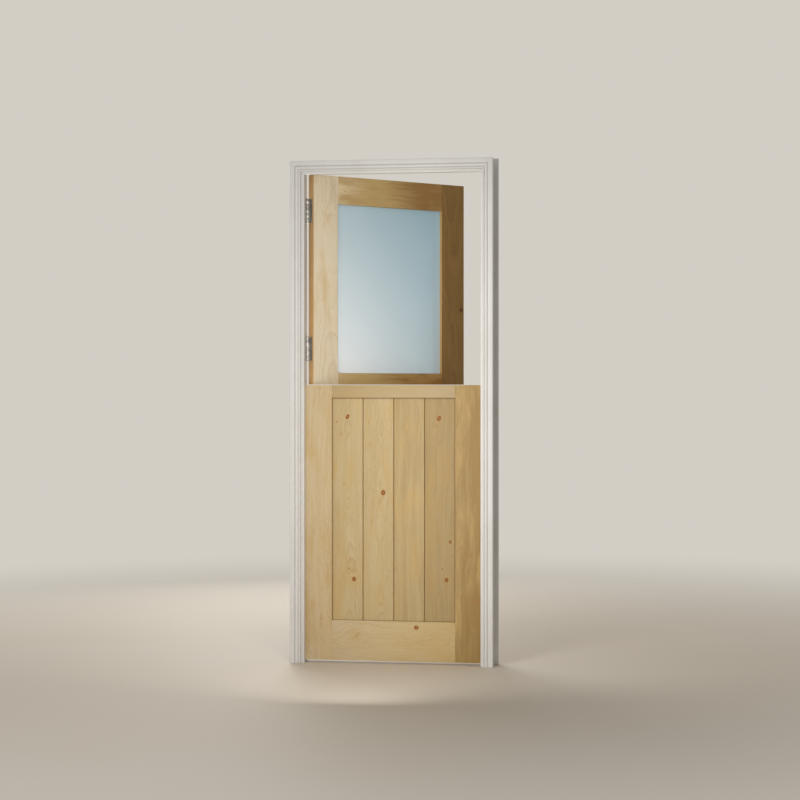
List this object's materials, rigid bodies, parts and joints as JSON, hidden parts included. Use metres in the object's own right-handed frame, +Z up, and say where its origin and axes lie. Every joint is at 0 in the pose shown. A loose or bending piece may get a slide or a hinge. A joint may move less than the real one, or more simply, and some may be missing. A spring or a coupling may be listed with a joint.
{
  "type": "dutch stable door",
  "caption": "Pine stable door split across into a boarded lower leaf and a glazed upper leaf, hung in a white moulded frame.",
  "frame": {"origin": "middle of the door opening at floor level, in the plane of the wall's near face and the lining's front edge", "axes": "+X to the right along the wall, +Y away from the viewer through the wall, +Z up"},
  "size_m": [0.872, 0.645, 2.097],
  "materials": {
    "white_paint": "satin white paint",
    "pine": "clear matt lacquered knotty pine",
    "obscure_glass": "satin etched",
    "clear_glass": "clear",
    "spacer_bar": "mill",
    "hinge_steel": "satin",
    "bolt_steel": "satin",
    "screw_steel": "bright"
  },
  "bodies": {
    "frame": {"back_architrave_head": "white_paint", "back_architrave_hinge_leg": "white_paint", "back_architrave_lock_leg": "white_paint", "frame_hinge_screws": "screw_steel", "front_architrave_head": "white_paint", "front_architrave_hinge_leg": "white_paint", "front_architrave_lock_leg": "white_paint", "head_stop": "white_paint", "hinge_leg_stop": "white_paint", "lining_head": "white_paint", "lining_hinge_leg": "white_paint", "lining_lock_leg": "white_paint", "lock_leg_stop": "white_paint", "lower_leaf_hinge_1_frame_flap": "hinge_steel", "lower_leaf_hinge_1_pin": "hinge_steel", "lower_leaf_hinge_2_frame_flap": "hinge_steel", "lower_leaf_hinge_2_pin": "hinge_steel", "strike_plate": "bolt_steel", "strike_screws": "screw_steel", "top_leaf_hinge_1_frame_flap": "hinge_steel", "top_leaf_hinge_1_pin": "hinge_steel", "top_leaf_hinge_2_frame_flap": "hinge_steel", "top_leaf_hinge_2_pin": "hinge_steel"},
    "lower_leaf": {"frame_bolt_plate": "bolt_steel", "link_bolt_keep": "bolt_steel", "lower_leaf_board_1": "pine", "lower_leaf_board_2": "pine", "lower_leaf_board_3": "pine", "lower_leaf_board_4": "pine", "lower_leaf_bolt_screws": "screw_steel", "lower_leaf_bottom_rail": "pine", "lower_leaf_hinge_1_door_flap": "hinge_steel", "lower_leaf_hinge_2_door_flap": "hinge_steel", "lower_leaf_hinge_screws": "screw_steel", "lower_leaf_hinge_stile": "pine", "lower_leaf_lock_stile": "pine", "lower_leaf_top_rail": "pine"},
    "top_leaf": {"clear_back_pane": "clear_glass", "glazing_bead_bottom": "pine", "glazing_bead_hinge": "pine", "glazing_bead_lock": "pine", "glazing_bead_top": "pine", "link_bolt_plate": "bolt_steel", "obscure_front_pane": "obscure_glass", "pane_spacer": "spacer_bar", "top_leaf_bolt_screws": "screw_steel", "top_leaf_bottom_rail": "pine", "top_leaf_hinge_1_door_flap": "hinge_steel", "top_leaf_hinge_2_door_flap": "hinge_steel", "top_leaf_hinge_screws": "screw_steel", "top_leaf_hinge_stile": "pine", "top_leaf_lock_stile": "pine", "top_leaf_top_rail": "pine"},
    "link_bolt": {"link_bolt_rod": "bolt_steel"},
    "frame_bolt": {"frame_bolt_rod": "bolt_steel"}
  },
  "joints": [
    {"name": "top_leaf_swing", "type": "hinge", "parent": "frame", "child": "top_leaf", "pos_m": [-0.3825, 0.078, 1.6015], "axis": [0, 0, 1], "range_deg": [-46.5, 93.5]},
    {"name": "lower_leaf_swing", "type": "hinge", "parent": "frame", "child": "lower_leaf", "pos_m": [-0.3825, 0.078, 0.584], "axis": [0, 0, 1], "range_deg": [0, 140]},
    {"name": "link_bolt_slide", "type": "slide", "parent": "top_leaf", "child": "link_bolt", "axis": [0, 0, -1], "range_m": [0, 0.024]},
    {"name": "frame_bolt_slide", "type": "slide", "parent": "lower_leaf", "child": "frame_bolt", "axis": [1, 0, 0], "range_m": [0, 0.024]}
  ]
}
